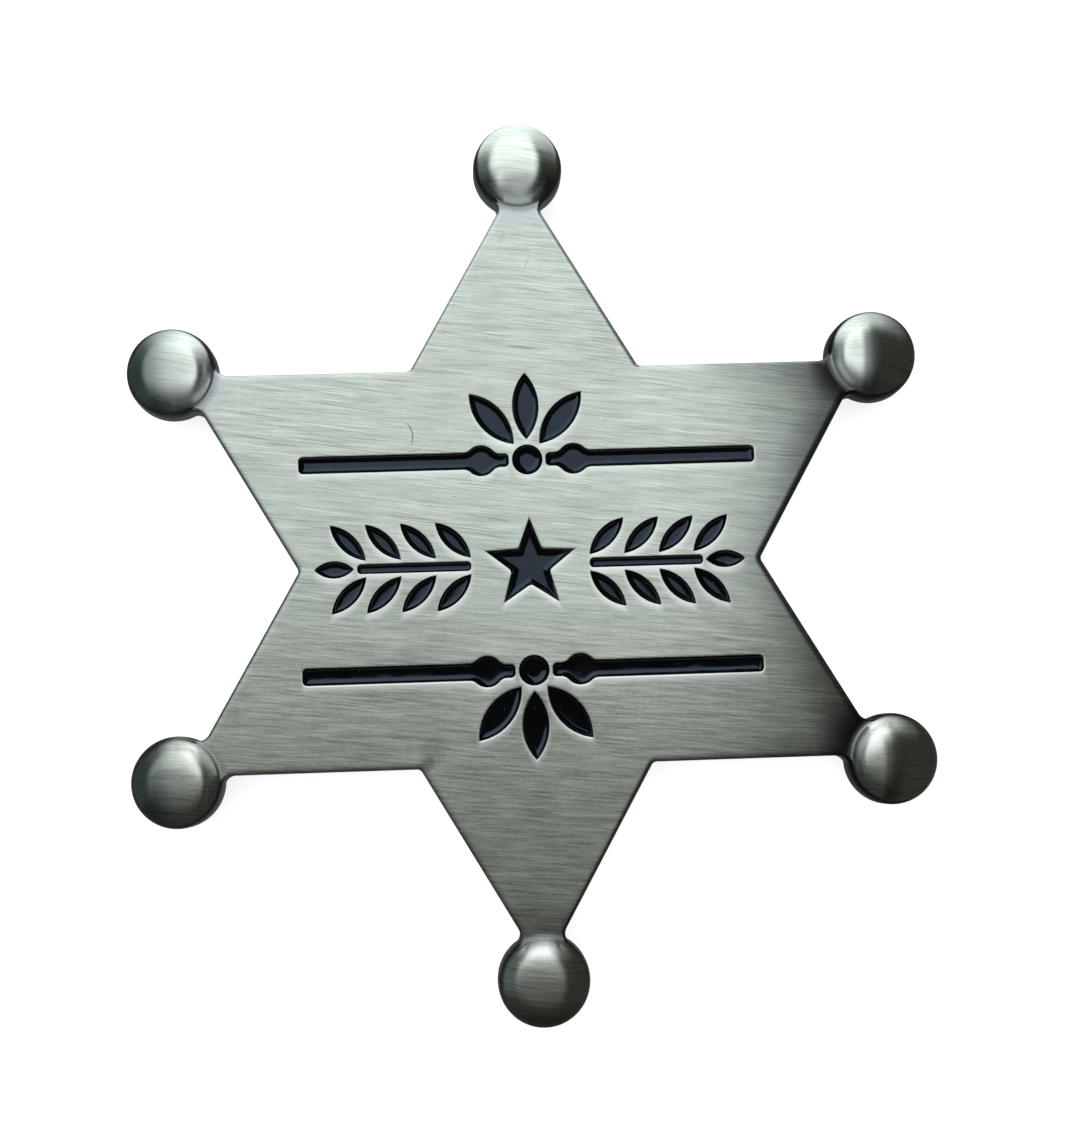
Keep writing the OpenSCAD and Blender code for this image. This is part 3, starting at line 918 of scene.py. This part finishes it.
def add_card(name, across, along, place, glow, tint, lit):
    """A soft card that some pieces mirror. Its glow from edge to edge is a
    list of stops along its X and one along its Y, in millimetres."""
    lamp = bpy.data.lights.new(name, "AREA")
    lamp.shape = "RECTANGLE"
    lamp.color = tint
    lamp.use_nodes = True
    tree = lamp.node_tree
    on_card = add_node(tree, "NewGeometry").outputs["Parametric"]
    level, middle, size = 1, [], []
    for spot_on, stops in zip(add_node(tree, "SeparateXYZ", {0: on_card}).outputs, (across, along)):
        first, last = stops[0][0], stops[-1][0]
        profile = add_node(tree, "ValToRGB", {"Fac": spot_on})
        elements = profile.color_ramp.elements
        for element, (_, share) in zip(elements, (stops[0], stops[-1])):
            element.color = (share, share, share, 1)
        for at, share in stops[1:-1]:
            elements.new((at - first) / (last - first)).color = (share, share, share, 1)
        level = maths(tree, "MULTIPLY", level, profile.outputs["Color"])
        middle.append((first + last) / 2 * MM)
        size.append((last - first) * MM)
    tree.links.new(level, tree.nodes["Emission"].inputs["Strength"])
    lamp.size, lamp.size_y = size
    lamp.energy = glow * pi * lamp.size * lamp.size_y
    card = bpy.data.objects.new(name, lamp)
    bpy.context.scene.collection.objects.link(card)
    card.matrix_world = place @ Matrix.Translation((*middle, 0))
    card.visible_diffuse = False
    seen_by = bpy.data.collections.new(name + "_seen_by")
    for piece in lit:
        seen_by.objects.link(piece)
    card.light_linking.receiver_collection = seen_by


def over_face(height):
    """A level card's place, so many millimetres over the face."""
    return Matrix.Translation((0, 0, (face_z + height) * MM))


# The ceiling's bright part ends across the middle of the face, and the
# tongue is a short strip of light past that end
ceiling_h, tongue_h = 20, 19.5
window_y, wall_x, high_window_z = 85, -110, 300
day = (0.98, 1.0, 1.01)
blue_day = (0.68, 0.92, 1.3)
far_wall = (0.75, 1.0, 1.08)
metals = [casting, pin]
add_card("ceiling",
         ((-95, 0.2), (-68, 0.62), (-47, 0.8), (-39, 0.92), (-33, 1.02), (-28, 1.02), (-20, 1), (10, 1),
          (15, 1.1), (19, 1.02), (21, 0.93), (24.6, 0.68), (26.6, 0.4), (29, 0.15), (32, 0.05), (36, 0)),
         ((-66, 0.03), (-36, 0.1), (-30, 0.15), (-24, 0.22), (-18, 0.3), (-12, 0.36), (-7, 0.4),
          (-3.5, 0.47), (-0.5, 0.93), (3, 1.05), (12, 1), (26, 1), (36, 1.12), (42, 1.36), (85, 1.36)),
         over_face(ceiling_h), 1.04, day, metals)
add_card("tongue", ((-9, 0), (0, 1), (9, 0.9), (20, 0)), ((-8, 0), (-5, 1), (-2, 1), (0, 0)),
         over_face(tongue_h), 0.5, day, metals)
add_card("window",
         ((-157, 0.06), (-100, 0.1), (-64, 0.6), (-44, 0.8), (-10, 1), (12, 1), (34, 0.62), (52, 0.52),
          (72, 0.25), (100, 0.1), (148, 0.04)), ((-32, 1), (60, 1)),
         Matrix.Translation((0, window_y * MM, 0)) @ Matrix.Rotation(-pi / 2, 4, "X"),
         1.45, day, metals)
add_card("left_wall", ((-60, 1), (60, 1)), ((-65, 1), (85, 1)),
         Matrix.Translation((wall_x * MM, 0, 0)) @ Matrix.Rotation(-pi / 2, 4, "Y"),
         0.1, far_wall, metals)
add_card("enamel_window", ((-1000, 1.25), (-60, 1.25), (0, 1.1), (75, 1.05)),
         ((10, 0), (20, 0.85), (60, 0.95), (140, 1.3), (1500, 1.3)),
         Matrix.Translation((0, 0, high_window_z * MM)), 1, blue_day, fills)
